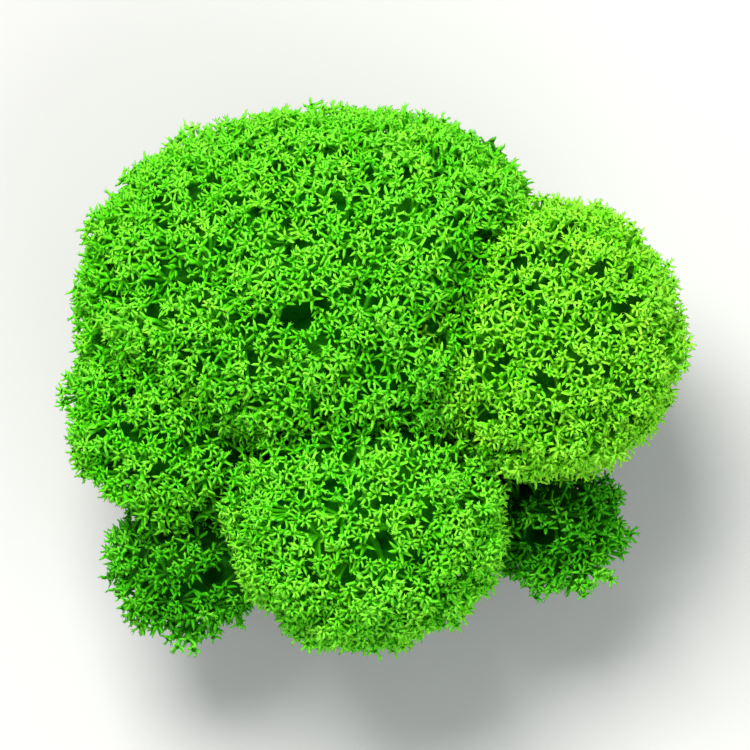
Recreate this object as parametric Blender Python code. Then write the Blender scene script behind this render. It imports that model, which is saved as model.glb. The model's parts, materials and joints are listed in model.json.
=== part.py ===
"""A clump of reindeer moss: six rounded heads of a star-tipped lichen, standing on their cut stalks.

Every head is a bundle of stalks that fork over and over until their twigs close into a dome. It is
modelled as a dense core that narrows to a cut foot and is covered with three-pointed twig ends.
Neighbouring heads press against each other, so each one is a solid of its own with a little air round it.

+X is the clump's long side, +Z is up, and the origin is on the surface that it stands on, under its middle.
"""

import math
import random
from collections import namedtuple

import bmesh
import bpy
import numpy as np
from mathutils import Vector

MM = 0.001

# Places and sizes of the heads over their tips, in millimetres, with the height of each one's centre.
# The places are those at full height: every stalk leans in towards the clump's middle further down.
Head = namedtuple("Head", "name x y half_x half_y top middle material seed")
HEADS = (
    Head("crown_head", -3.5, 6.4, 21.2, 16.2, 38.0, 15.5, "moss_green", 11),
    Head("right_head", 12.8, 3.0, 11.9, 12.0, 36.0, 16.0, "moss_lime", 23),
    Head("front_head", -0.6, -10.1, 12.5, 12.0, 33.5, 14.5, "moss_green", 37),
    Head("left_head", -15.2, -1.2, 9.4, 11.5, 31.0, 13.5, "moss_green", 41),
    Head("low_head", -15.3, -13.2, 9.2, 7.6, 23.0, 10.0, "moss_deep", 53),
    Head("small_head", 13.8, -11.2, 8.2, 7.8, 20.5, 9.0, "moss_deep", 67),
)
HEAD_GAP = 0.70 * MM  # air between neighbouring heads
BASE_SHARE = 0.64  # the clump's width at the surface, as a share of its full width
FULL_WIDTH_HEIGHT = 19.0 * MM  # where the stalks have leant out to their full spread

# The core of a head
DOME_POWER = 2.2  # 2 is an ellipse, and more is fuller in the shoulders
UNDERSIDE_POWER = 1.5  # below 2, the sides draw in towards the foot
CREASE = 2.5 * MM  # how softly a head rounds off into the crease beside its neighbour
LOBES = 7
LOBE_SIZE = 0.055  # of the head's radius
LOBE_SHARPNESS = 7.0

# The cut foot of a head
FOOT_SHARE = 0.6  # of a head's half width
FOOT_POINTS = 24
STALKS = 6  # that show round a foot and up the underside
FLUTE_DEPTH = 0.18  # between the stalks, as a share of the radius
FLUTE_RISE = 0.6  # how far up the underside the flutes keep their depth
FLOOR_CLEARANCE = 0.8 * MM  # of everything but the foot itself

# Twig ends, larger than life: the real ones are about 1.7 mm apart
TWIG_SPACING = 2.5 * MM
TWIG_REACH = 2.5 * MM  # from the core to the tips
TWIG_VARIES = 0.12  # of the reach
SHORTEST_TWIG = 0.3  # of the reach, and a shorter one is left out
TWIGS_START = 4.5 * MM  # below this height the stalks are bare
TWIGS_FULL = 14.0 * MM  # from this height on, the twig ends have their full reach
NECK_HEIGHT = 0.42  # of the reach, where a twig end forks
NECK_WIDTH = 0.80  # of the way from the middle of its patch to the patch's sides
PIT_HEIGHT = 0.34  # of the reach, the hollow between its points
THINNEST_POINT = 0.12 * MM  # of a twig's point, from its tip to the plane of its own root
POINT_SPREAD = 0.70  # of the way from the middle of its patch to the patch's corners
POINT_SWAY = 0.05  # how far a point strays sideways, as a share of its patch
CREASE_TWIGS = 0.5  # of the reach, kept free for twigs where two heads face each other
OPEN_SHARE = 0.8  # twigs stand where neighbours leave the core this much of its own radius
BARE_SPACING = 1.25  # where no twig stands, as a multiple of their spacing

# Fineness of the search for points and borders
TRIED_POINTS = 7000
BORDER_STEPS = 80
BORDER_HALVINGS = 12
TRIM_STEP = 0.85

COLOURS = {
    "moss_green": (0.070, 0.400, 0.008, 1.0),
    "moss_lime": (0.105, 0.430, 0.008, 1.0),
    "moss_deep": (0.040, 0.260, 0.012, 1.0),
}
MOSS_ROUGHNESS = 0.9


def clear_scene():
    for old in list(bpy.data.objects):
        bpy.data.objects.remove(old, do_unlink=True)


def moss_material(name):
    material = bpy.data.materials.new(name)
    material.use_nodes = True
    shader = material.node_tree.nodes["Principled BSDF"]
    shader.inputs["Base Color"].default_value = COLOURS[name]
    shader.inputs["Roughness"].default_value = MOSS_ROUGHNESS
    shader.inputs["Metallic"].default_value = 0.0
    material.diffuse_color = COLOURS[name]
    return material


def centre_of(head):
    """The point inside a head that its surface is measured from."""
    return np.array([head.x, head.y, head.middle]) * MM


def converge(points):
    """Leans the stalks in towards the clump's middle, the more the nearer they are to the surface."""
    points = np.array(points, float)
    rise = np.clip(points[..., 2] / FULL_WIDTH_HEIGHT, 0.0, 1.0)
    spread = BASE_SHARE + (1.0 - BASE_SHARE) * rise * rise * (3.0 - 2.0 * rise)
    points[..., :2] *= spread[..., None]
    return points


def fullness(head, points):
    """Where points lie in a head: 0 at its centre and 1 on the smooth outline over its tips."""
    away = (points - centre_of(head)) / MM
    level = np.hypot(away[..., 0] / head.half_x, away[..., 1] / head.half_y)
    drop = head.middle / (1.0 - FOOT_SHARE**UNDERSIDE_POWER) ** (1.0 / UNDERSIDE_POWER)
    upper = away[..., 2] > 0
    upright = np.abs(away[..., 2]) / np.where(upper, head.top - head.middle, drop)
    power = np.where(upper, DOME_POWER, UNDERSIDE_POWER)
    return (level**power + upright**power) ** (1.0 / power)


def elbow_room(head, points):
    """How far inside its own share of the clump a head is at these points. Past its border it is below 0."""
    own = fullness(head, points)
    room = np.full(own.shape, np.inf)
    for other in HEADS:
        if other is head:
            continue
        narrowest = [min(each.half_x, each.half_y) * MM for each in (head, other)]
        air = HEAD_GAP / 2 * sum(1.0 / width for width in narrowest)
        room = np.minimum(room, fullness(other, points) - own - air)
    return room


def border_radius(head, ways):
    """How far it is from the head's centre to its first neighbour each way."""
    middle = centre_of(head)
    longest = 2.0 * max(head.half_x, head.half_y, head.top) * MM
    near = np.zeros(len(ways))
    far = np.full(len(ways), longest)
    for step in np.linspace(0.0, longest, BORDER_STEPS)[1:]:
        unmet = far == longest
        blocked = elbow_room(head, middle + ways * step) < 0
        far[unmet & blocked] = step
        near[unmet & ~blocked] = step
    for _ in range(BORDER_HALVINGS):
        between = (near + far) / 2
        blocked = elbow_room(head, middle + ways * between[:, None]) < 0
        far = np.where(blocked, between, far)
        near = np.where(blocked, near, between)
    return near


def flute(turn):
    """The radius round a foot, as a share: 1 on a stalk and less between two."""
    return 1.0 - FLUTE_DEPTH * (0.5 - 0.5 * np.cos(STALKS * turn))


def own_radius(head, ways):
    """How far the core would reach from the head's centre each way, if the head stood alone."""
    radius = 1.0 / fullness(head, centre_of(head) + ways) - TWIG_REACH
    turn = np.arctan2(ways[:, 1] / head.half_y, ways[:, 0] / head.half_x)
    downwards = np.clip(-ways[:, 2] / FLUTE_RISE, 0.0, 1.0)
    radius *= 1.0 - (1.0 - flute(turn)) * downwards
    draw = random.Random(head.seed)
    for _ in range(LOBES):
        turn = draw.uniform(0, math.tau)
        height = draw.uniform(0.1, 0.95)
        across = math.sqrt(1.0 - height * height)
        towards = np.array([math.cos(turn) * across, math.sin(turn) * across, height])
        size = LOBE_SIZE * draw.uniform(-0.8, 1.0)
        radius *= 1.0 + size * np.exp(LOBE_SHARPNESS * (ways @ towards - 1.0))
    return radius


def soft_minimum(a, b, softness):
    """The smaller of two lengths, rounded off where they are nearly equal."""
    overlap = np.clip(softness - np.abs(a - b), 0.0, None) / softness
    return np.minimum(a, b) - overlap * overlap * softness / 4


def even_ways(count):
    """Directions spread evenly over a sphere."""
    steps = np.arange(count) + 0.5
    height = 1.0 - 2.0 * steps / count
    turn = math.pi * (1.0 + math.sqrt(5.0)) * steps
    across = np.sqrt(1.0 - height * height)
    return np.stack([np.cos(turn) * across, np.sin(turn) * across, height], axis=1)


def foot_outline(head):
    """Points round the cut foot, on the surface that the clump stands on."""
    under = np.array([head.x, head.y, 0.0]) * MM
    half_x = FOOT_SHARE * head.half_x * MM - TWIG_REACH
    half_y = FOOT_SHARE * head.half_y * MM - TWIG_REACH
    shares = np.linspace(0.0, 1.0, BORDER_STEPS)
    outline = []
    for turn in np.linspace(0.0, math.tau, FOOT_POINTS, endpoint=False):
        out = np.array([math.cos(turn) * half_x, math.sin(turn) * half_y, 0.0]) * flute(turn)
        blocked = elbow_room(head, under + shares[:, None] * out) < 0
        share = shares[np.argmax(blocked) - 1] if blocked.any() else 1.0
        outline.append(under + out * share)
    return np.array(outline)


def spaced_out(places, spacing, taken):
    """Numbers of the places that stand at least their spacing from each other and from those taken."""
    clear = np.min(np.linalg.norm(places[:, None] - taken[None], axis=2), axis=1)
    chosen = []
    while True:
        best = int(np.argmax(clear / spacing))
        if clear[best] < spacing[best]:
            return chosen
        chosen.append(best)
        clear = np.minimum(clear, np.linalg.norm(places - places[best], axis=1))


def core_points(head):
    """The core's points relative to the head's centre, and whether each one is on its open side."""
    middle = centre_of(head)
    ways = even_ways(TRIED_POINTS)
    own = own_radius(head, ways)
    faces_up = np.clip(0.5 + 1.5 * ways[:, 2], 0.0, 1.0)
    border = border_radius(head, ways) - CREASE_TWIGS * TWIG_REACH * faces_up
    radius = soft_minimum(own, border, CREASE)
    points = ways * radius[:, None]
    above = points[:, 2] > FLOOR_CLEARANCE - middle[2]
    is_open = (radius > own * OPEN_SHARE)[above]
    points = points[above]

    under = np.array([[0.0, 0.0, -middle[2]]])
    foot = np.concatenate([foot_outline(head) - middle, under])
    spacing = TWIG_SPACING * np.where(is_open, 1.0, BARE_SPACING)
    added = spaced_out(converge(points + middle), spacing, converge(foot + middle))
    closed_foot = np.zeros(len(foot), bool)
    return np.concatenate([foot, points[added]]), np.concatenate([closed_foot, is_open[added]])


def patches_of(points):
    """Triangles that join points round a centre, each with its corners counter-clockwise from outside."""
    ways = points / np.linalg.norm(points, axis=1)[:, None]
    bm = bmesh.new()
    number = {bm.verts.new(way): n for n, way in enumerate(ways)}
    bmesh.ops.convex_hull(bm, input=list(bm.verts))
    patches = []
    for face in bm.faces:
        corners = [number[vert] for vert in face.verts]
        a, b, c = (ways[n] for n in corners)
        if np.dot(np.cross(b - a, c - a), a + b + c) < 0:
            corners.reverse()
        patches.append(corners)
    bm.free()
    return sorted(patches)


def twig_points(corners, reach, strays, lengths):
    """A twig end's neck, points and pit over a patch. They stay in the cone from the head's centre through
    the patch, so that a twig end never meets the next one.
    """
    out = float(np.mean(np.linalg.norm(corners, axis=1)))

    def place(weights, height):
        return (np.array(weights) @ corners) * (1.0 + height / out)

    third = 1.0 / 3.0
    opposite = third * (1.0 - NECK_WIDTH)
    beside = (1.0 - opposite) / 2
    near = third * (1.0 - POINT_SPREAD)
    far = 1.0 - 2 * near
    neck = [
        place(weights, reach * NECK_HEIGHT)
        for weights in (
            (beside, beside, opposite),
            (opposite, beside, beside),
            (beside, opposite, beside),
        )
    ]
    points = []
    for n, (stray, length) in enumerate(zip(strays, lengths)):
        weights = [near, near, near]
        weights[n] = far
        weights[(n + 1) % 3] += stray
        weights[(n + 2) % 3] -= stray
        points.append(place(weights, reach * length))
    pit = place((third, third, third), reach * PIT_HEIGHT)
    return np.array([*neck, *points, pit])


def forks(twig):
    """The left and right sides, the pit and the tip of each of a twig end's points."""
    ab, bc, ca, at_a, at_b, at_c, pit = twig
    return ((ca, ab, pit, at_a), (ab, bc, pit, at_b), (bc, ca, pit, at_c))


def thinnest(twig):
    """How far the lowest of a twig end's points rises out of the plane of its root. Below 0, it is inside out."""
    heights = []
    for left, right, pit, tip in forks(converge(twig)):
        outwards = np.cross(right - left, pit - left)
        heights.append(float(outwards @ (tip - left)) / float(np.linalg.norm(outwards)))
    return min(heights)


def twig_end(head, corners, draw):
    """The points of the longest twig end that a patch has room for, or None."""
    middle = centre_of(head)
    height = float(np.mean(corners[:, 2])) + middle[2]
    growth = (height - TWIGS_START) / (TWIGS_FULL - TWIGS_START)
    varied = draw.uniform(1.0 - TWIG_VARIES, 1.0 + TWIG_VARIES / 2)
    reach = TWIG_REACH * varied * min(1.0, SHORTEST_TWIG + growth)
    strays = [draw.uniform(-POINT_SWAY, POINT_SWAY) for _ in range(3)]
    lengths = [draw.uniform(0.9, 1.0) for _ in range(3)]
    while reach > TWIG_REACH * SHORTEST_TWIG:
        points = twig_points(corners, reach, strays, lengths)
        placed = points + middle
        fits = elbow_room(head, placed).min() > 0 and placed[:, 2].min() > FLOOR_CLEARANCE
        if fits and thinnest(placed) > THINNEST_POINT:
            return points
        reach *= TRIM_STEP
    return None


def twig_faces(patch, first):
    """The faces of a twig end on a patch, whose own points are numbered from first."""
    a, b, c = patch
    twig = range(first, first + 7)
    ab, bc, ca = twig[:3]
    faces = [(a, b, ab), (b, c, bc), (c, a, ca), (a, ab, ca), (b, bc, ab), (c, ca, bc)]
    for left, right, pit, tip in forks(twig):
        faces += [(left, right, tip), (right, pit, tip), (pit, left, tip)]
    return faces


def head_shape(head):
    """The points and faces of a head, in the clump's frame."""
    points, is_open = core_points(head)
    middle = centre_of(head)
    draw = random.Random(head.seed)
    groups = [points]
    count = len(points)
    faces = []
    for patch in patches_of(points):
        corners = points[patch]
        bare = corners[:, 2].mean() + middle[2] < TWIGS_START or not is_open[patch].any()
        twig = None if bare else twig_end(head, corners, draw)
        if twig is None:
            faces.append(tuple(patch))
            continue
        faces += twig_faces(patch, count)
        groups.append(twig)
        count += len(twig)
    return converge(np.concatenate(groups) + middle), faces


def add_head(head, material):
    points, faces = head_shape(head)
    foot = Vector((head.x, head.y, 0.0)) * MM * BASE_SHARE
    mesh = bpy.data.meshes.new(head.name)
    mesh.from_pydata([Vector(point) - foot for point in points], [], faces)
    mesh.materials.append(material)
    mesh.update()
    obj = bpy.data.objects.new(head.name, mesh)
    obj.location = foot
    bpy.context.scene.collection.objects.link(obj)
    return obj


def stand_over_origin(clump):
    """Moves the clump so that the origin lies under the middle of its box."""
    bpy.context.view_layer.update()
    corners = [head.matrix_world @ vert.co for head in clump.children for vert in head.data.vertices]
    for axis in (0, 1):
        reach = [corner[axis] for corner in corners]
        clump.location[axis] -= (min(reach) + max(reach)) / 2


def main():
    clear_scene()
    materials = {name: moss_material(name) for name in COLOURS}
    clump = bpy.data.objects.new("reindeer_moss_clump", None)
    bpy.context.scene.collection.objects.link(clump)
    for head in HEADS:
        add_head(head, materials[head.material]).parent = clump
    stand_over_origin(clump)


main()
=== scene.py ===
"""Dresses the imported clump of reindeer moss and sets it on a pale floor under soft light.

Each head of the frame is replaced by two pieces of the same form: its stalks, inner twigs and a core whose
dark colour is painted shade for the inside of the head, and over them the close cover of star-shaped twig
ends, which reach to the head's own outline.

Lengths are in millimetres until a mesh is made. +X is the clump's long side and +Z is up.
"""

import json
import math
from collections import namedtuple

import bmesh
import bpy
import numpy as np
from mathutils import Matrix, Vector
from mathutils.kdtree import KDTree

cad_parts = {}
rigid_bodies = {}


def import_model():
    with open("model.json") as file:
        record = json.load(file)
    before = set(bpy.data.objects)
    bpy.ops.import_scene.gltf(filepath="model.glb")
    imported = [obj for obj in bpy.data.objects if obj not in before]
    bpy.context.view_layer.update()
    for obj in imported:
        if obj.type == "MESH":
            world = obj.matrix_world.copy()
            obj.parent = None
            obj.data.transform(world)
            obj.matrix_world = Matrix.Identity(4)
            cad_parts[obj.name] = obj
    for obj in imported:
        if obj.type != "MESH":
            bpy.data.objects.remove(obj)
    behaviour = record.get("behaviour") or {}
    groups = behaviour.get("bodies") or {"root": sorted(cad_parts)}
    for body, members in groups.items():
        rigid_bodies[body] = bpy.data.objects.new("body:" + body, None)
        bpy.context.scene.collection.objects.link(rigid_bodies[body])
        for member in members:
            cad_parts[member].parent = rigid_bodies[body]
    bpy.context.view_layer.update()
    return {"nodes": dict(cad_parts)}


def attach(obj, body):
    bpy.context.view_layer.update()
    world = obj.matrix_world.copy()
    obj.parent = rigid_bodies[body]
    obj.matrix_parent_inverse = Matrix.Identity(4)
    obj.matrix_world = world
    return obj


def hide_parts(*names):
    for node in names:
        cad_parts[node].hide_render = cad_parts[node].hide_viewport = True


MM = 0.001

# The heads' centres, as in the part's source: the places are those at full height.
# Loose heads have a rougher cover with wider gaps.
# Brightness raises or lowers a head's tone; the low and small heads' darker tone is partly painted shade for
# their place low in the clump
Head = namedtuple("Head", "name x y middle slot brightness loose seed")
HEADS = (
    Head("crown_head", -3.5, 6.4, 15.5, "moss_green", 0.01, 0.0, 11),
    Head("right_head", 12.8, 3.0, 16.0, "moss_lime", 0.06, 0.0, 23),
    Head("front_head", -0.6, -10.1, 14.5, "moss_green", 0.04, 0.0, 37),
    Head("left_head", -15.2, -1.2, 13.5, "moss_green", -0.02, 0.1, 41),
    Head("low_head", -15.3, -13.2, 10.0, "moss_deep", -0.06, 1.0, 53),
    Head("small_head", 13.8, -11.2, 9.0, "moss_deep", -0.08, 0.8, 67),
)
BASE_SHARE = 0.64
FULL_WIDTH_HEIGHT = 19.0
SHIFT = (0.09, -0.53)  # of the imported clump, which stands over the origin

# Reading a head's outline
BLUR = 1.9  # how far the outline looks round for its highest tips
PEAK_BIAS = 1.5  # for a millimetre of height
BATCH = 500  # directions read at once

# Soft tufts, and the shallow hollows between them
TUFT_SPACING = 5.6
TUFT_LEAST = 0.86  # of the spacing, which tufts keep at least
TUFT_PLACES = 1500  # tried
TUFT_SLOPE = 0.42  # of the spacing, from the bottom of a hollow to its rim
TUFT_DIP = 1.2
LUMP = 0.35
CREASE = 0.45  # how much lower the cover lies where heads touch

# Twig ends. Each cover has small dark pits between its stars, as the hollow twigs of this lichen do.
TRIED_PLACES = 15000
STAR_SPACING = 0.88
STAR_SIZE = (0.60, 0.90)
STAR_DEPTH = 0.52
UNDER_SPACING = 1.02
UNDER_SIZE = (0.85, 1.10)
UNDER_DEPTH = 1.25
CLEAR_OF_STARS = 0.72
CONTACT_SPACING = 0.6  # more between stars, where heads touch
STARS_START = 1.8  # below this height there are no twig ends
STARS_FULL = 10.0
PIT_SPACING = (1.9, 3.3)
PIT_WIDTH = (0.62, 0.90)  # from a pit's middle to the stars round it
PIT_UNDER = 0.72  # of that width, which the lower layer keeps clear

# Inside a head: knots carry the stars, and boughs carry the knots
KNOT_DEPTH = 2.9
KNOT_SPACING = 2.3
BOUGH_DEPTH = 5.6
BOUGH_SPACING = 5.2
BOUGH_GIRTH = (0.42, 0.24)
CORE_DEPTH = 3.9
CORE_PLACES = 1800
CORE_FOOT = 0.15  # its height over the floor

# Tubes: girths for a star of size 1, and tones from each tube's root to its tip, with painted shade at the
# roots and at the bottom of each cup, and painted light towards the tips
CUP_GIRTH = (0.20, 0.17, 0.34)
CUP_TONES = (0.25, 0.50, 0.88, 0.0)
RAY_GIRTH = (0.170, 0.140)
RAY_TONES = (0.78, 0.95, 1.14)
PRONG_GIRTH = 0.130
PRONG_TONES = (0.92, 1.18)
BOUGH_TONES = (0.5, 0.7, 1.0, 1.0)

# Painted light and shade of the cover, higher is brighter: painted light up high, and painted shade low down,
# in hollows, where heads touch, in gaps and on steep sides
LOW_PAINTED_LIGHT = 0.66
PAINTED_LIGHT_RISE = 0.37  # from the foot to the crown
SUNKEN_SHADE = 0.16  # for each millimetre, up to two
CONTACT_SHADE = 0.10
GAP_SHADE = 0.12
SIDE_SHADE = 0.15
UNDER_TONE = 0.95

# Gaps in the cover, seen from above, with their width and depth
Hollow = namedtuple("Hollow", "head x y width depth")
HOLLOWS = (
    Hollow("crown_head", -4.4, 2.4, 1.5, 3.0),
    Hollow("crown_head", 6.6, 1.6, 1.2, 2.4),
    Hollow("crown_head", 8.2, 7.4, 1.7, 1.6),
    Hollow("crown_head", -14.8, 7.6, 1.9, 1.3),
    Hollow("crown_head", -11.2, 13.6, 1.1, 1.3),
    Hollow("crown_head", 1.5, -1.5, 1.6, 1.3),
    Hollow("front_head", 1.6, -15.0, 1.4, 2.4),
    Hollow("front_head", 5.6, -12.6, 1.1, 1.2),
    Hollow("left_head", -18.2, -5.6, 1.2, 1.2),
    Hollow("right_head", 9.6, -1.5, 1.3, 1.3),
    Hollow("right_head", 14.5, -3.0, 1.3, 1.2),
    Hollow("low_head", -12.6, -16.2, 1.7, 2.2),
    Hollow("small_head", 12.6, -13.0, 1.7, 2.0),
)

# Stalks round the foot
STALK_SPACING = 1.15
STALK_GIRTH = (0.27, 0.45)
STALK_DEPTH = (0.50, 1.60)
STALK_TOPS = (84, 106)  # degrees from straight down
STALK_RINGS = 13
STALK_TWIGS = 8
BRANCHES = 3  # on each stalk
BRANCH_GIRTH = (0.16, 0.27)
BRANCH_DEPTH = (0.3, 2.6)
BRANCH_RINGS = 8
BRANCH_TWIGS = 6
TWIG_SIZE = (0.60, 0.90)

# Linear colours: deep is painted shade between the twigs, base is the moss's green, tip is its paler tips
# with painted light on them, and old is of old bare stalks
Palette = namedtuple("Palette", "deep base tip old")
PALETTES = {
    "moss_green": Palette(
        (0.001, 0.092, 0.0), (0.062, 0.58, 0.003), (0.192, 0.80, 0.038), (0.052, 0.088, 0.016)
    ),
    "moss_lime": Palette(
        (0.003, 0.098, 0.0), (0.100, 0.61, 0.003), (0.270, 0.86, 0.044), (0.056, 0.092, 0.016)
    ),
    # Darker all over, partly as painted shade for the low and small heads
    "moss_deep": Palette(
        (0.001, 0.058, 0.0), (0.042, 0.44, 0.004), (0.155, 0.70, 0.040), (0.044, 0.076, 0.015)
    ),
}
YELLOWER = (1.7, 1.03, 1.0, 1)
FLOOR_NEAR = (0.52, 0.52, 0.51, 1)
FLOOR_FAR = (0.85, 0.86, 0.875, 1)

FRAME_WIDTH = 58.0
AIM_HEIGHT = 20.0
CAMERA_OFFSET = Vector((70.0, -93.0, 742.0))


def unit(vectors):
    return vectors / np.maximum(np.linalg.norm(vectors, axis=-1, keepdims=True), 1e-9)


def spread_at(heights):
    rise = np.clip(heights / FULL_WIDTH_HEIGHT, 0.0, 1.0)
    return BASE_SHARE + (1.0 - BASE_SHARE) * rise * rise * (3.0 - 2.0 * rise)


def lean_in(points):
    """From upright heads to the clump, whose stalks lean in towards its middle."""
    spread = spread_at(points[..., 2])[..., None]
    return np.concatenate([points[..., :2] * spread + SHIFT, points[..., 2:]], axis=-1)


def stand_up(points):
    """From the clump to upright heads."""
    spread = spread_at(points[..., 2])[..., None]
    return np.concatenate([(points[..., :2] - SHIFT) / spread, points[..., 2:]], axis=-1)


def even_ways(count):
    """Directions spread evenly over a sphere."""
    steps = np.arange(count) + 0.5
    height = 1.0 - 2.0 * steps / count
    turn = math.pi * (1.0 + math.sqrt(5.0)) * steps
    across = np.sqrt(1.0 - height * height)
    return np.stack([np.cos(turn) * across, np.sin(turn) * across, height], axis=1)


def corners_of(node):
    mesh = node.data
    flat = np.empty(len(mesh.vertices) * 3, np.float32)
    mesh.vertices.foreach_get("co", flat)
    return flat.reshape(-1, 3).astype(float) / MM


class Outline:
    """How far a head of the frame reaches each way from its centre."""

    def __init__(self, head, node, draw):
        self.centre = np.array([head.x, head.y, head.middle])
        away = stand_up(corners_of(node)) - self.centre
        self.radii = np.linalg.norm(away, axis=1)
        self.ways = unit(away)
        self.size = float(np.median(self.radii))
        self.loose = head.loose
        self.hollows = [each for each in HOLLOWS if each.head == head.name]
        tried = even_ways(TUFT_PLACES)
        spacing = np.full(len(tried), TUFT_SPACING * TUFT_LEAST)
        self.tufts = tried[spaced_out(self.places(tried, 0.0), spacing, draw)]

    def reach(self, ways):
        """The distance to the tips, each way, and no further than the floor."""
        found = []
        for some in np.array_split(ways, max(1, len(ways) // BATCH)):
            near = (some @ self.ways.T - 1.0) * (self.size / BLUR) ** 2 * 2.0
            weight = np.exp(near + PEAK_BIAS * (self.radii - self.size))
            found.append(weight @ self.radii / weight.sum(axis=1))
        radius = np.concatenate(found)
        down = np.minimum(ways[:, 2], -1e-6)
        return np.minimum(radius, -self.centre[2] / down)

    def dips(self, ways):
        """How deep the hollows between tufts are, from 0 on a tuft to 1 between them."""
        cosines = np.sort(ways @ self.tufts.T, axis=1)[:, -2:]
        first, second = (np.arccos(np.clip(cosines[:, n], -1, 1)) for n in (1, 0))
        between = (second - first) * self.size / TUFT_SPACING
        return np.clip(1.0 - between / TUFT_SLOPE, 0.0, 1.0) ** 1.5

    def gaps(self, ways, surface):
        """How deep each place lies in the gaps of the cover, which are in the upper side."""
        depth = np.zeros(len(ways))
        for hollow in self.hollows:
            away = np.hypot(surface[:, 0] - hollow.x, surface[:, 1] - hollow.y)
            inside = hollow.depth * np.exp(-((away / hollow.width) ** 4))
            depth = np.maximum(depth, np.where(ways[:, 2] > 0.1, inside, 0.0))
        return depth

    def at(self, ways, radii):
        """The clump's points at these distances from the head's centre."""
        return lean_in(self.centre + ways * radii[:, None])

    def places(self, ways, depth):
        """Points of the clump, this deep under the tips."""
        return self.at(ways, self.reach(ways) - depth)


def spaced_out(places, spacing, draw, blocked=None):
    """Numbers of places, picked at random, that keep their spacing from those picked before."""
    blocked = np.zeros(len(places), bool) if blocked is None else blocked.copy()
    picked = []
    for n in draw.permutation(len(places)):
        if blocked[n]:
            continue
        picked.append(n)
        blocked |= np.linalg.norm(places - places[n], axis=1) < spacing[n]
    return np.array(picked, int)


def nearest(points, among):
    """For each point, the number of the nearest one among others and how far off it is."""
    tree = KDTree(len(among))
    for number, place in enumerate(among):
        tree.insert(place, number)
    tree.balance()
    found = [tree.find(point) for point in points]
    return np.array([hit[1] for hit in found]), np.array([hit[2] for hit in found])


class Shades:
    """The tone, age and tint of each of some twigs."""

    def __init__(self, tone, age, tint):
        self.tone, self.age, self.tint = tone, age, tint

    def of(self, numbers):
        return Shades(self.tone[numbers], self.age[numbers], self.tint[numbers])


class Stars:
    """Twig ends: their middles, the ways they look, their sizes and their shades."""

    def __init__(self, hubs, axes, size, shades):
        self.hubs, self.axes, self.size, self.shades = hubs, axes, size, shades


class Growth:
    """Collects tubes and bodies for one piece, with their colours and their places on its map."""

    def __init__(self):
        self.parts = []
        self.points = 0
        self.cells = 0

    def add(self, points, faces, tone, age, tint, cell, where):
        above = np.concatenate([points[:, :2], np.maximum(points[:, 2:], 0.0)], axis=1)
        self.parts.append((above, faces + self.points, tone, age, tint, cell, where))
        self.points += len(points)

    def tubes(self, paths, radii, sides, ends, tones, shades):
        """Adds tubes along paths, each closed by a point at its end. Tones are shares of its own."""
        count, rings = radii.shape
        points = np.concatenate([round_tubes(paths, radii, sides, ends), ends[:, None]], axis=1)
        each = rings * sides + 1
        faces = tube_faces(rings, sides)
        faces = (faces[None] + (np.arange(count) * each)[:, None, None]).reshape(-1, 3)
        where = np.tile(tube_map(rings, sides), (count, 1))
        cell = np.repeat(self.cells + np.arange(count), each)
        self.cells += count
        tone = shades.tone[:, None] * np.concatenate([np.repeat(tones[:-1], sides), tones[-1:]])
        age, tint = np.repeat(shades.age, each), np.repeat(shades.tint, each)
        self.add(points.reshape(-1, 3), faces, tone.ravel(), age, tint, cell, where)


def round_tubes(paths, radii, sides, ends):
    """Rings of points round paths."""
    mean = unit(ends - paths[:, 0])
    along = unit(np.gradient(paths, axis=1)) if paths.shape[1] > 1 else mean[:, None]
    helper = np.where(np.abs(mean[:, 2:]) < 0.8, (0.0, 0.0, 1.0), (1.0, 0.0, 0.0))
    across = unit(np.cross(helper, mean))[:, None]
    across = unit(across - (across * along).sum(axis=-1, keepdims=True) * along)
    other = np.cross(along, across)
    turn = math.tau * np.arange(sides) / sides
    round_it = np.cos(turn)[:, None] * across[:, :, None] + np.sin(turn)[:, None] * other[:, :, None]
    points = paths[:, :, None] + radii[:, :, None, None] * round_it
    return points.reshape(len(paths), -1, 3)


def tube_faces(rings, sides):
    """Triangles of one tube, whose last point is its tip."""
    steps = np.arange(sides)
    after = (steps + 1) % sides
    faces = []
    for ring in range(rings - 1):
        low, high = ring * sides, (ring + 1) * sides
        faces.append(np.stack([low + steps, low + after, high + after], axis=1))
        faces.append(np.stack([low + steps, high + after, high + steps], axis=1))
    last = (rings - 1) * sides
    faces.append(np.stack([last + steps, last + after, np.full(sides, rings * sides)], axis=1))
    return np.concatenate(faces)


def tube_map(rings, sides):
    """Where the points of one tube lie in its square of the map."""
    over = 0.5 - 0.5 * np.cos(math.tau * np.arange(sides) / sides + 0.35)
    where_x = np.concatenate([np.tile(over, rings), [0.5]])
    where_y = np.concatenate([np.repeat(np.arange(rings) / rings, sides), [1.0]])
    return np.stack([where_x, where_y], axis=1)


def bent(start, control, end, shares):
    """Points at these shares of the way along curves."""
    t = np.array(shares)[None, :, None]
    return (1 - t) ** 2 * start[:, None] + 2 * t * (1 - t) * control[:, None] + t * t * end[:, None]


def sideways(axes, turns):
    """Unit vectors across each axis, at these turns round it."""
    helper = np.where(np.abs(axes[:, 2:]) < 0.8, (0.0, 0.0, 1.0), (1.0, 0.0, 0.0))
    across = unit(np.cross(helper, axes))
    other = np.cross(axes, across)
    return np.cos(turns)[:, None] * across + np.sin(turns)[:, None] * other


def add_stems(growth, roots, stars, sides):
    """Twigs that end in a small open cup."""
    length = np.linalg.norm(stars.hubs - roots, axis=1)
    control = stars.hubs - stars.axes * (0.55 * length)[:, None]
    paths = bent(roots, control, stars.hubs, (0.0, 0.7, 1.0))
    radii = stars.size[:, None] * CUP_GIRTH
    ends = stars.hubs - stars.axes * (0.5 * stars.size)[:, None]
    growth.tubes(paths, radii, sides, ends, CUP_TONES, stars.shades)


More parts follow.
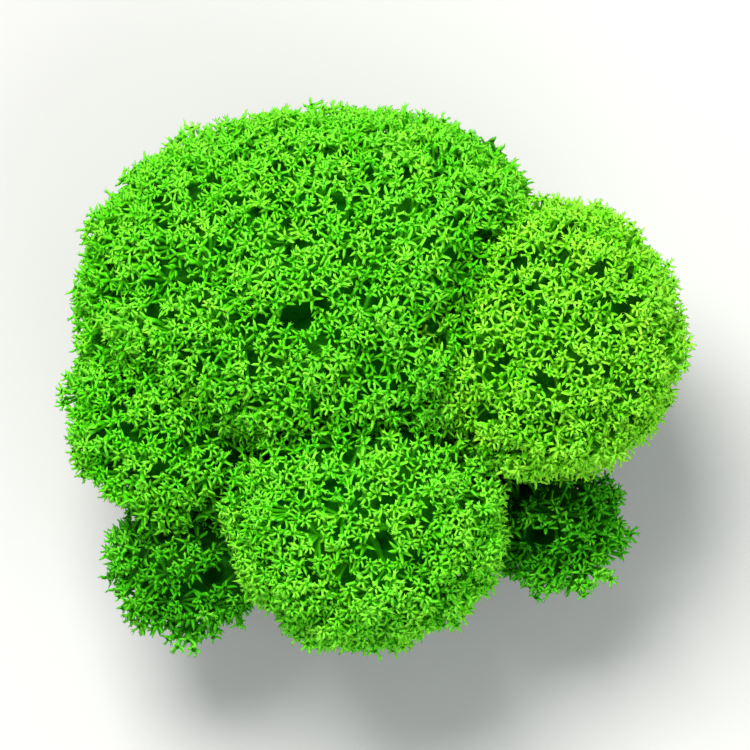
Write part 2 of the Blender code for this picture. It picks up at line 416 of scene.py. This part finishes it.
def add_rays(growth, stars, least, most, pronged, draw):
    """The short pointed branches round each cup, with a prong on both sides of each if they are pronged."""
    counts = draw.integers(least, most + 1, len(stars.hubs))
    of = np.repeat(np.arange(len(counts)), counts)
    number = np.arange(len(of)) - np.repeat(np.cumsum(counts) - counts, counts)
    turns = draw.uniform(0, math.tau, len(counts))[of]
    turns = turns + math.tau * (number + draw.uniform(-0.28, 0.28, len(of))) / counts[of]
    axis, scale, shades = stars.axes[of], stars.size[of, None], stars.shades.of(of)
    out = sideways(axis, turns)
    low = np.radians(draw.uniform(0, 45, (len(of), 1)))
    high = low + np.radians(draw.uniform(-15, 45, (len(of), 1)))
    first = out * np.cos(low) + axis * np.sin(low)
    second = out * np.cos(high) + axis * np.sin(high)
    length = scale * draw.uniform(0.60, 1.05, (len(of), 1))
    start = stars.hubs[of] + (out * 0.25 - axis * 0.05) * scale
    middle = start + first * length * 0.55
    ends = middle + second * length * 0.45
    paths = np.stack([start, middle], axis=1)
    growth.tubes(paths, scale * RAY_GIRTH, 3, ends, RAY_TONES, shades)
    if not pronged:
        return
    for side in (-1.0, 1.0):
        lift = axis * draw.uniform(-0.2, 0.5, (len(of), 1))
        away = second * 0.65 + np.cross(axis, second) * side * 0.75 + lift
        ends = middle + unit(away) * length * draw.uniform(0.25, 0.60, (len(of), 1))
        root = middle - first * length * 0.08
        growth.tubes(root[:, None], scale * PRONG_GIRTH, 3, ends, PRONG_TONES, shades)


def add_boughs(growth, roots, ends, axes, shades):
    """Plain twigs that carry the knots."""
    length = np.linalg.norm(ends - roots, axis=1)
    control = ends - axes * (0.5 * length)[:, None]
    paths = bent(roots, control, ends, (0.0, 0.5, 1.0))
    thick, thin = BOUGH_GIRTH
    radii = np.ones((len(ends), 1)) * np.array([thick, (thick + thin) / 2, thin])
    growth.tubes(paths, radii, 5, ends + axes * 0.12, BOUGH_TONES, shades)


def patches_of(ways):
    """Triangles that join directions, counter-clockwise from outside."""
    bm = bmesh.new()
    number = {bm.verts.new(way): n for n, way in enumerate(ways)}
    bmesh.ops.convex_hull(bm, input=list(bm.verts))
    patches = []
    for face in bm.faces:
        corners = [number[vert] for vert in face.verts]
        a, b, c = (ways[n] for n in corners)
        if np.dot(np.cross(b - a, c - a), a + b + c) < 0:
            corners.reverse()
        patches.append(corners)
    bm.free()
    return np.array(sorted(patches))


def wrinkled(places, draw, waves=24, longest=9.0, shortest=3.0):
    """A smooth random number from about -1 to 1 at each place."""
    total = np.zeros(len(places))
    for length in np.linspace(longest, shortest, waves):
        way = unit(draw.normal(size=3))
        total += np.sin(places @ way * math.tau / length + draw.uniform(0, math.tau))
    return total / math.sqrt(waves / 2) / 2


def add_core(growth, outline, draw):
    """The body that closes the head off behind its twigs, down to the floor, painted dark as the shade inside
    the head.
    """
    ways = even_ways(CORE_PLACES)
    depth = CORE_DEPTH * np.clip(0.72 + 0.4 * ways[:, 2], 0.52, 1.0)
    surface = outline.places(ways, 0.0)
    gaps = outline.gaps(ways, surface)
    lumps = wrinkled(outline.places(ways, depth), draw)
    places = outline.places(ways, depth + 0.7 * lumps + 1.1 * gaps)
    grounded = surface[:, 2] < 2.0 * CORE_FOOT
    places[:, 2] = np.where(grounded, CORE_FOOT, np.maximum(places[:, 2], CORE_FOOT))
    # Painted shade: a tone near the deepest colour, darker still under the gaps in the cover, with a little
    # lumpy variation
    tone = 0.08 + 0.05 * lumps - 0.05 * gaps
    age = np.clip(1.0 - places[:, 2] / 12.0, 0, 1)
    tint = np.full(len(ways), 0.5)
    across = np.sqrt(np.clip((1.0 - ways[:, 2]) / 2.0, 0, 1))[:, None]
    where = 0.5 + 0.5 * across * unit(ways[:, :2])
    growth.add(places, patches_of(ways), tone, age, tint, np.full(len(ways), -1), where)


def foot_edge(outline, turns):
    """How far from straight down the foot ends, for each turn round the head."""
    tilts = np.radians(np.linspace(2.0, 100.0, 197))
    edges = []
    for turn in turns:
        ways = tilted(np.full(len(tilts), turn), tilts)
        heights = outline.centre[2] + ways[:, 2] * outline.reach(ways)
        edges.append(tilts[np.argmax(heights > 0.02)])
    return np.array(edges)


def tilted(turns, tilts):
    """Directions at these turns round the head, tilted this far from straight down."""
    across = np.sin(tilts)
    return np.stack([np.cos(turns) * across, np.sin(turns) * across, -np.cos(tilts)], axis=-1)


def climbing(outline, turns, tilts, depths):
    """Points up the outside of a foot, from rows of turns, tilts and depths."""
    ways = tilted(turns, tilts).reshape(-1, 3)
    return outline.places(ways, depths.ravel()).reshape(*turns.shape, 3)


class Stalks:
    """The bare stalks round a foot, as smooth runs of turns, tilts and depths from 0 at the ground to 1."""

    def __init__(self, outline, draw):
        ring = outline.places(tilted(np.linspace(0, math.tau, 60), np.full(60, 1.0)), 0.5)
        around = float(np.linalg.norm(np.diff(ring, axis=0), axis=1).sum()) * 0.8
        self.count = max(9, round(around / STALK_SPACING))
        spread = np.arange(self.count) + draw.uniform(-0.35, 0.35, self.count)
        self.turns = math.tau * spread / self.count
        self.edges = foot_edge(outline, self.turns)
        self.tops = np.radians(draw.uniform(*STALK_TOPS, self.count))
        self.drift = draw.uniform(-0.24, 0.24, self.count)
        self.waves = draw.uniform(0, math.tau, (2, self.count))
        self.outer = draw.uniform(*STALK_DEPTH, self.count)

    def turn(self, of, share):
        slow, quick = self.waves[0][of] + 8.0 * share, self.waves[1][of] + 19.0 * share
        return self.turns[of] + self.drift[of] * share + 0.080 * np.sin(slow) + 0.035 * np.sin(quick)

    def tilt(self, of, share):
        return self.edges[of] + (self.tops[of] - self.edges[of]) * share

    def depth(self, of, share):
        swing = 0.22 * np.sin(self.waves[1][of] + 9.0 * share)
        return self.outer[of] + swing + np.interp(share, [0.0, 0.35, 0.7, 1.0], [0.0, 0.1, 1.4, 3.0])


def add_stalks(growth, outline, draw):
    """Bare stalks up the outside of the foot, the branches that leave them, and short twigs on both."""
    stalks = Stalks(outline, draw)
    share = np.linspace(0.0, 1.0, STALK_RINGS)[None]
    of = np.arange(stalks.count)[:, None]
    paths = climbing(outline, stalks.turn(of, share), stalks.tilt(of, share), stalks.depth(of, share))
    paths[:, 0, 2] = 0.0
    add_bare(growth, paths, draw.uniform(*STALK_GIRTH, (stalks.count, 1)), draw)
    add_side_twigs(growth, outline, paths, STALK_TWIGS, draw)

    of = np.repeat(np.arange(stalks.count), BRANCHES)[:, None]
    fork = draw.uniform(0.04, 0.60, (len(of), 1))
    step = np.linspace(0.0, 1.0, BRANCH_RINGS)[None]
    share = fork + (1.0 - fork) * step
    side = draw.choice((-1.0, 1.0), (len(of), 1)) * draw.uniform(0.10, 0.40, (len(of), 1))
    turns = stalks.turn(of, fork) + side * step**0.8 + 0.03 * np.sin(stalks.waves[0][of] + 12.0 * step)
    depths = stalks.depth(of, fork) * (1 - step) + draw.uniform(*BRANCH_DEPTH, (len(of), 1)) * step
    paths = climbing(outline, turns, stalks.tilt(of, share), depths)
    add_bare(growth, paths, draw.uniform(*BRANCH_GIRTH, (len(of), 1)), draw)
    add_side_twigs(growth, outline, paths, BRANCH_TWIGS, draw)


def add_bare(growth, paths, girth, draw):
    """Bare tubes that thin out upwards."""
    rings = paths.shape[1]
    knobs = 1.0 + draw.uniform(-0.12, 0.12, paths.shape[:2])
    ends = paths[:, -1] + (paths[:, -1] - paths[:, -2]) * 0.3
    tone = draw.uniform(0.26, 0.44, len(paths))
    shades = Shades(tone, draw.uniform(0.75, 1.0, len(paths)), draw.random(len(paths)))
    radii = girth * np.linspace(1.0, 0.55, rings) * knobs
    growth.tubes(paths, radii, 6, ends, np.linspace(1.0, 1.1, rings + 1), shades)


def add_side_twigs(growth, outline, paths, each, draw):
    """Short star-tipped twigs that leave the stalks, where they stay inside the outline."""
    share = draw.uniform(0.10, 0.97, (len(paths), each))
    spot = share * (paths.shape[1] - 1.001)
    low, rows = spot.astype(int), np.arange(len(paths))[:, None]
    part = (spot - low)[..., None]
    roots = (paths[rows, low] * (1 - part) + paths[rows, low + 1] * part).reshape(-1, 3)
    climb = unit(paths[rows, low + 1] - paths[rows, low]).reshape(-1, 3)
    axis_at = lean_in(outline.centre * (1, 1, 0) + np.array([0, 0, 1.0]) * roots[:, 2:])
    outward = unit((roots - axis_at) * (1, 1, 0))
    side = np.cross(climb, outward) * draw.uniform(-1.4, 1.4, (len(roots), 1))
    way = unit(outward * draw.uniform(0.05, 0.55, (len(roots), 1)) + side + climb * 0.8)
    hubs = roots + way * draw.uniform(0.6, 2.0, (len(roots), 1))
    away = stand_up(hubs) - outline.centre
    keep = (hubs[:, 2] > 0.6) & (np.linalg.norm(away, axis=1) < outline.reach(unit(away)) - 0.15)
    hubs, roots, way = hubs[keep], roots[keep], way[keep]
    fresh = np.clip(hubs[:, 2] / 12.0, 0, 1)
    # Side twigs are darker the lower they stand, as painted shade, and older low down
    shades = Shades(0.34 + 0.32 * fresh, 0.95 - 0.6 * fresh, draw.random(len(hubs)))
    stars = Stars(hubs, way, draw.uniform(*TWIG_SIZE, len(hubs)), shades)
    add_stems(growth, roots, stars, 3)
    add_rays(growth, stars, 3, 4, False, draw)


class Cover:
    """Where the twig ends of a head can stand."""

    def __init__(self, outline, others, brightness, draw):
        ways = unit(even_ways(TRIED_PLACES) + draw.normal(0, 0.004, (TRIED_PLACES, 3)))
        radii = outline.reach(ways)
        surface = outline.at(ways, radii)
        high = surface[:, 2] > STARS_START
        self.outline, self.ways, self.radii, self.surface = outline, ways[high], radii[high], surface[high]
        self.gaps = outline.gaps(self.ways, self.surface)
        lumps = wrinkled(self.surface, draw, 26, 8.0, 3.2)
        height = self.surface[:, 2]
        self.touching = np.clip(1.0 - (nearest(self.surface, others)[1] - 0.9) / 1.6, 0, 1)
        relief = TUFT_DIP * outline.dips(self.ways) + LUMP * (1.0 + lumps)
        self.sunken = relief * (1.0 + 0.7 * outline.loose) + CREASE * self.touching
        self.growing = np.clip((height - STARS_START) / (STARS_FULL - STARS_START), 0, 1)
        self.fresh = np.clip((height - 3.0) / 12.0, 0, 1)
        self.outward = unit(self.surface - self.under(1.0, 0.0))
        # Painted light and shade of each place, raised or lowered by the head's own brightness
        self.glow = self.glow_of() + brightness
        self.find_pits(draw)

    def under(self, depth, share):
        """Places this deep under the outline, and by this share of what the cover is sunken."""
        return self.outline.at(self.ways, self.radii - depth - share * self.sunken)

    def glow_of(self):
        """Painted light and shade: brighter on top, and painted shade low down, on steep sides, in hollows
        and where heads touch.
        """
        sunken = SUNKEN_SHADE * np.minimum(self.sunken, 2.0)
        shade = sunken + CONTACT_SHADE * self.touching + GAP_SHADE * self.gaps
        aside = np.clip(1.0 - self.outward[:, 2] / 0.7, 0, 1)
        return LOW_PAINTED_LIGHT + PAINTED_LIGHT_RISE * self.fresh - shade - SIDE_SHADE * aside

    def find_pits(self, draw):
        spacing = draw.uniform(*PIT_SPACING, len(self.ways))
        pits = self.surface[spaced_out(self.surface, spacing, draw)]
        width = draw.uniform(*PIT_WIDTH, len(pits)) * (1.0 + 0.3 * self.outline.loose)
        numbers, away = nearest(self.surface, pits)
        self.in_pit = away / width[numbers]
        self.from_pit = unit(self.surface - pits[numbers])

    def stars(self, places, spacing, size, clear, blocked, draw):
        """Stars at spaced places that aren't blocked and are clear of the pits."""
        open_to = 1.0 + 0.9 * (1.0 - self.growing) ** 1.5 + 0.15 * self.outline.loose
        gap = open_to * (spacing + CONTACT_SPACING * self.touching)
        chosen = spaced_out(places, gap, draw, blocked | (self.in_pit < clear))
        lean = self.outward[chosen] + draw.normal(0, 0.30, (len(chosen), 3))
        near_pit = np.clip(1.8 - self.in_pit[chosen], 0, 0.8)[:, None]
        axes = unit(lean + 0.4 * near_pit * self.from_pit[chosen])
        sizes = draw.uniform(*size, len(chosen)) * (0.85 + 0.15 * self.growing[chosen])
        jitter = draw.uniform(-0.30, 0.22, (len(chosen), 1))
        # Each star's tone is the painted light and shade of its place, varied at random
        tone = self.glow[chosen] * draw.uniform(0.84, 1.10, len(chosen))
        shades = Shades(tone, 0.55 * (1.0 - self.fresh[chosen]), draw.random(len(chosen)))
        return Stars(places[chosen] + self.outward[chosen] * jitter, axes, sizes, shades)


def add_cover(inner, tips, outline, others, brightness, draw):
    """Two layers of twig ends, and the twigs that carry them."""
    cover = Cover(outline, others, brightness, draw)
    knot_places = cover.under(KNOT_DEPTH, 0.7)
    knots = spaced_out(knot_places, np.full(len(knot_places), KNOT_SPACING), draw, cover.gaps > 1.0)
    knot_at = knot_places[knots]
    hubs = cover.under(STAR_DEPTH, 1.0)
    top = cover.stars(hubs, STAR_SPACING, STAR_SIZE, 1.0, cover.gaps > 0.8, draw)
    under = cover.under(UNDER_DEPTH, 0.85)
    crowded = (nearest(under, top.hubs)[1] < CLEAR_OF_STARS) | (cover.gaps > 1.5)
    low = cover.stars(under, UNDER_SPACING, UNDER_SIZE, PIT_UNDER, crowded, draw)
    # Painted shade: the lower layer of twig ends is a little darker than the top one
    low.shades.tone = low.shades.tone * UNDER_TONE
    add_stems(tips, knot_at[nearest(top.hubs, knot_at)[0]], top, 5)
    add_rays(tips, top, 4, 6, True, draw)
    add_stems(inner, knot_at[nearest(low.hubs, knot_at)[0]], low, 4)
    add_rays(inner, low, 4, 5, False, draw)

    bough_places = cover.under(BOUGH_DEPTH, 0.0)
    bough_at = bough_places[spaced_out(bough_places, np.full(len(bough_places), BOUGH_SPACING), draw)]
    roots = bough_at[nearest(knot_at, bough_at)[0]]
    # Painted shade: boughs deep inside the head get a low tone
    shades = Shades(np.full(len(knots), 0.30), 0.6 * (1 - cover.fresh[knots]), draw.random(len(knots)))
    add_boughs(inner, roots, knot_at, cover.outward[knots], shades)


def mesh_of(growth, name):
    points, faces, tone, age, tint, cell, where = zip(*growth.parts)
    points = np.concatenate(points).astype(np.float32) * np.float32(MM)
    faces = np.concatenate(faces).astype(np.int32)
    mesh = bpy.data.meshes.new(name)
    mesh.vertices.add(len(points))
    mesh.vertices.foreach_set("co", points.ravel())
    mesh.loops.add(faces.size)
    mesh.loops.foreach_set("vertex_index", faces.ravel())
    mesh.polygons.add(len(faces))
    mesh.polygons.foreach_set("loop_start", np.arange(len(faces), dtype=np.int32) * 3)
    mesh.update(calc_edges=True)
    mesh.shade_smooth()
    for title, values in (("tone", tone), ("age", age), ("tint", tint)):
        attribute = mesh.attributes.new(title, "FLOAT", "POINT")
        attribute.data.foreach_set("value", np.concatenate(values).astype(np.float32))
    spot = spread_on_map(np.concatenate(cell), np.concatenate(where), growth.cells)
    layer = mesh.uv_layers.new(name="OFBake")
    layer.uv.foreach_set("vector", spot[faces.ravel()].astype(np.float32).ravel())
    return mesh


def spread_on_map(cell, where, cells):
    """Places on the map: a square for each tube, and a strip at its top for a body."""
    columns = math.ceil(math.sqrt(cells * 1.04)) + 1
    body = cell < 0
    body_share = 0.14 if body.any() else 0.0
    row, column = cell // columns, cell % columns
    spot = (np.stack([column, row], axis=1) + 0.12 + 0.76 * where) / columns
    spot[:, 1] = spot[:, 1] * (1.0 - body_share)
    spot[body] = where[body] * (0.98, body_share * 0.94) + (0.01, 1.0 - body_share * 0.97)
    return spot


def add_node(tree, kind, place, **inputs):
    node = tree.nodes.new(kind)
    node.location = place
    for title, value in inputs.items():
        node.inputs[title.replace("_", " ")].default_value = value
    return node


def add_maths(tree, operation, place, *values):
    """A sum of sockets and plain numbers."""
    node = add_node(tree, "ShaderNodeMath", place)
    node.operation = operation
    for socket, value in zip(node.inputs, values):
        if isinstance(value, float):
            socket.default_value = value
        else:
            tree.links.new(value, socket)
    return node.outputs[0]


def add_value(tree, title, place):
    """One of the mesh's own values."""
    node = add_node(tree, "ShaderNodeAttribute", place)
    node.attribute_name = title
    return node.outputs["Fac"]


def add_mix(tree, place, factor, colour, other, blend="MIX"):
    """Mixes a colour that another node gives with a plain one."""
    node = add_node(tree, "ShaderNodeMix", place)
    node.data_type = "RGBA"
    node.blend_type = blend
    tree.links.new(factor, node.inputs["Factor"])
    tree.links.new(colour, node.inputs["A"])
    node.inputs["B"].default_value = other
    return node.outputs["Result"]


def add_ramp(tree, place, factor, stops):
    """Colours at their positions."""
    node = add_node(tree, "ShaderNodeValToRGB", place)
    ramp = node.color_ramp
    for element, (position, colour) in zip((ramp.elements[0], ramp.elements[1]), (stops[0], stops[-1])):
        element.position = position
        element.color = colour
    for position, colour in stops[1:-1]:
        ramp.elements.new(position).color = colour
    tree.links.new(factor, node.inputs["Fac"])
    return node


def moss_colour(tree, palette, patchy, fine):
    """Mottled green, from painted shade deep between the twigs to paler tips with painted light on them,
    yellower on some twigs and faded on old stalks.
    """
    mottled = add_maths(tree, "MULTIPLY_ADD", (-1050, 300), fine, 0.30, add_value(tree, "tone", (-1500, 300)))
    shaded = add_maths(tree, "MULTIPLY_ADD", (-900, 300), patchy, 0.34, mottled)
    centred = add_maths(tree, "SUBTRACT", (-750, 300), shaded, 0.32)
    stops = ((0.05, (*palette.deep, 1)), (0.62, (*palette.base, 1)), (1.0, (*palette.tip, 1)))
    green = add_ramp(tree, (-600, 300), centred, stops).outputs["Color"]
    amount = add_maths(tree, "MULTIPLY", (-600, 0), add_value(tree, "tint", (-1500, -500)), patchy)
    green = add_mix(tree, (-400, 300), amount, green, YELLOWER, "MULTIPLY")
    patches = add_node(
        tree, "ShaderNodeMapRange", (-800, -200), From_Min=0.35, From_Max=0.65, To_Min=0.55, To_Max=1.0
    )
    tree.links.new(fine, patches.inputs["Value"])
    age = add_value(tree, "age", (-1500, -300))
    ageing = add_maths(tree, "MULTIPLY", (-600, -200), age, patches.outputs["Result"])
    return add_mix(tree, (-200, 300), ageing, green, (*palette.old, 1))


def moss_material(name, palette):
    """Matte, slightly downy twigs with a fine uneven surface."""
    material = bpy.data.materials.new(name)
    material.use_nodes = True
    tree = material.node_tree
    link = tree.links.new
    shader = tree.nodes["Principled BSDF"]
    where = add_node(tree, "ShaderNodeTexCoord", (-1500, 0))
    patchy = add_node(tree, "ShaderNodeTexNoise", (-1250, 0), Scale=230.0, Detail=3.0, Roughness=0.6)
    fine = add_node(tree, "ShaderNodeTexNoise", (-1250, -250), Scale=2600.0, Detail=4.0, Roughness=0.65)
    link(where.outputs["Object"], patchy.inputs["Vector"])
    link(where.outputs["Object"], fine.inputs["Vector"])
    patchy, fine = patchy.outputs["Fac"], fine.outputs["Fac"]
    link(moss_colour(tree, palette, patchy, fine), shader.inputs["Base Color"])

    rough = add_node(tree, "ShaderNodeMapRange", (-300, -150), To_Min=0.78, To_Max=0.98)
    link(fine, rough.inputs["Value"])
    link(rough.outputs["Result"], shader.inputs["Roughness"])
    bump = add_node(tree, "ShaderNodeBump", (-300, -400), Strength=0.70, Distance=0.00013)
    link(fine, bump.inputs["Height"])
    link(bump.outputs["Normal"], shader.inputs["Normal"])
    shader.inputs["Sheen Weight"].default_value = 0.05
    shader.inputs["Sheen Roughness"].default_value = 0.5
    shader.inputs["Sheen Tint"].default_value = (0.30, 0.95, 0.10, 1)
    shader.inputs["Specular IOR Level"].default_value = 0.07
    return material


def dress(head, frame, corners, material):
    """Replaces a head of the frame by its two pieces."""
    draw = np.random.default_rng(head.seed)
    outline = Outline(head, frame["nodes"][head.name], draw)
    inner, tips = Growth(), Growth()
    add_core(inner, outline, draw)
    add_stalks(inner, outline, draw)
    others = np.concatenate([places for name, places in corners.items() if name != head.name])
    add_cover(inner, tips, outline, others, head.brightness, draw)
    for growth, part in ((inner, "_stalks"), (tips, "_tips")):
        piece = bpy.data.objects.new(head.name + part, mesh_of(growth, head.name + part))
        piece.data.materials.append(material)
        bpy.context.scene.collection.objects.link(piece)
        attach(piece, "root")
        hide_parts(head.name)


def floor_material():
    """Gets paler away from the clump, where less light falls on the floor."""
    material = bpy.data.materials.new("floor")
    material.use_nodes = True
    tree = material.node_tree
    shader = tree.nodes["Principled BSDF"]
    where = add_node(tree, "ShaderNodeTexCoord", (-900, 0))
    away = add_node(tree, "ShaderNodeVectorMath", (-700, 0))
    away.operation = "LENGTH"
    tree.links.new(where.outputs["Object"], away.inputs[0])
    stops = ((0.15, FLOOR_NEAR), (1.0, FLOOR_FAR))
    ramp = add_ramp(tree, (-500, 0), away.outputs["Value"], stops)
    ramp.color_ramp.interpolation = "EASE"
    tree.links.new(ramp.outputs["Color"], shader.inputs["Base Color"])
    shader.inputs["Roughness"].default_value = 0.8
    return material


def add_floor():
    half = 1.5
    corners = [(-half, -half, 0), (half, -half, 0), (half, half, 0), (-half, half, 0)]
    mesh = bpy.data.meshes.new("floor")
    mesh.from_pydata(corners, [], [(0, 1, 2, 3)])
    mesh.materials.append(floor_material())
    floor = bpy.data.objects.new("floor", mesh)
    floor.location.z = -0.00002
    bpy.context.scene.collection.objects.link(floor)


def add_area(name, place, size, power, colour):
    light = bpy.data.lights.new(name, "AREA")
    light.size = size
    light.energy = power
    light.color = colour
    obj = bpy.data.objects.new(name, light)
    obj.location = Vector(place)
    obj.rotation_mode = "QUATERNION"
    aim = Vector((0, 0, AIM_HEIGHT * MM))
    obj.rotation_quaternion = (aim - obj.location).to_track_quat("-Z", "Y")
    bpy.context.scene.collection.objects.link(obj)


def add_lights():
    add_area("key", (-0.10, 0.30, 0.70), 0.36, 8.4, (1.0, 0.99, 0.96))
    add_area("fill", (0.40, -0.45, 0.55), 0.60, 3.4, (0.97, 0.99, 1.0))
    world = bpy.data.worlds.new("studio")
    world.use_nodes = True
    background = world.node_tree.nodes["Background"]
    background.inputs["Color"].default_value = (0.93, 0.96, 1.0, 1)
    background.inputs["Strength"].default_value = 0.50
    bpy.context.scene.world = world
    bpy.context.scene.view_settings.view_transform = "Standard"


def add_camera():
    camera = bpy.data.cameras.new("camera")
    obj = bpy.data.objects.new("camera", camera)
    target = Vector((0.0, 0.0, AIM_HEIGHT)) * MM
    offset = CAMERA_OFFSET * MM
    obj.location = target + offset
    obj.rotation_mode = "QUATERNION"
    back = offset.normalized()
    right = Vector((0, 1, 0)).cross(back).normalized()
    up = back.cross(right)
    obj.rotation_quaternion = Matrix((right, up, back)).transposed().to_quaternion()
    camera.sensor_width = 36.0
    camera.lens = camera.sensor_width * offset.length / (FRAME_WIDTH * MM)
    camera.clip_start = 0.05
    camera.clip_end = 10.0
    bpy.context.scene.collection.objects.link(obj)
    bpy.context.scene.camera = obj


def main():
    for old in list(bpy.data.objects):
        bpy.data.objects.remove(old, do_unlink=True)
    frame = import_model()
    corners = {name: corners_of(node) for name, node in frame["nodes"].items()}
    materials = {name: moss_material(name, palette) for name, palette in PALETTES.items()}
    for head in HEADS:
        dress(head, frame, corners, materials[head.slot])
    add_floor()
    add_lights()
    add_camera()


main()
